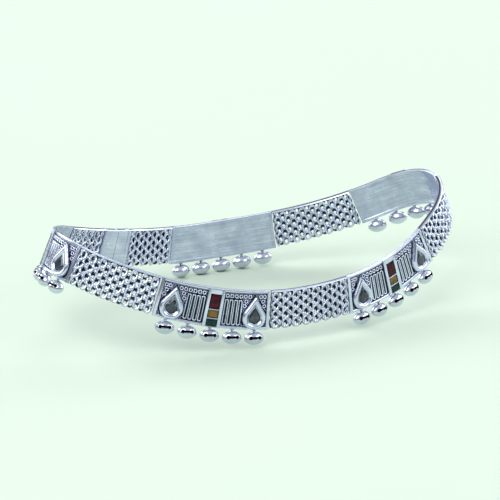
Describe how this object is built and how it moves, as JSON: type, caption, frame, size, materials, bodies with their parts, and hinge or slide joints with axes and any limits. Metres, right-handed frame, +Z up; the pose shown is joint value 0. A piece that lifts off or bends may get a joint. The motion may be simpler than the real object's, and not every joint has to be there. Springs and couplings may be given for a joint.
{
  "type": "payal anklet",
  "caption": "Silver payal anklet: a closed band of woven mesh and curved panels with pear stones, enamel tiles and small oval bells hung along its lower edge.",
  "frame": {"origin": "the middle of the ankle's hollow, inside the loop, at the middle of the band's height", "axes": "-X towards the toes, +X towards the heel, -Y the inner side of the right foot, +Z up the leg"},
  "size_m": [0.1199, 0.0622, 0.0292],
  "materials": {
    "silver": "polished silver with darkened recesses",
    "silver_mesh": "bright silver wire, darkened between the links",
    "silver_bell": "polished silver",
    "smoky_stone": "faceted smoky grey stone, polished",
    "enamel_red": "dark red glossy enamel",
    "enamel_gold": "amber gold glossy enamel",
    "enamel_green": "dark green glossy enamel"
  },
  "bodies": {
    "root": {"bell_1_1": "silver_bell", "bell_1_2": "silver_bell", "bell_1_3": "silver_bell", "bell_1_4": "silver_bell", "bell_1_5": "silver_bell", "bell_2_1": "silver_bell", "bell_2_2": "silver_bell", "bell_2_3": "silver_bell", "bell_2_4": "silver_bell", "bell_2_5": "silver_bell", "bell_3_1": "silver_bell", "bell_3_2": "silver_bell", "bell_3_3": "silver_bell", "bell_3_4": "silver_bell", "bell_3_5": "silver_bell", "bell_4_1": "silver_bell", "bell_4_2": "silver_bell", "bell_4_3": "silver_bell", "bell_4_4": "silver_bell", "bell_4_5": "silver_bell", "bell_5_1": "silver_bell", "bell_5_2": "silver_bell", "bell_5_3": "silver_bell", "bell_5_4": "silver_bell", "bell_5_5": "silver_bell", "clasp": "silver", "enamel_gold": "enamel_gold", "enamel_green": "enamel_green", "enamel_red": "enamel_red", "mesh_band_1": "silver_mesh", "mesh_band_2": "silver_mesh", "mesh_band_3": "silver_mesh", "mesh_band_4": "silver_mesh", "mesh_band_5": "silver_mesh", "mesh_band_6": "silver_mesh", "panel_1": "silver", "panel_2": "silver", "panel_3": "silver", "panel_4": "silver", "panel_5": "silver", "pear_stone_1a": "smoky_stone", "pear_stone_1b": "smoky_stone", "pear_stone_2a": "smoky_stone", "pear_stone_2b": "smoky_stone", "pear_stone_3a": "smoky_stone", "pear_stone_3b": "smoky_stone", "pear_stone_4a": "smoky_stone", "pear_stone_4b": "smoky_stone", "pear_stone_5a": "smoky_stone", "pear_stone_5b": "smoky_stone"}
  },
  "joints": []
}
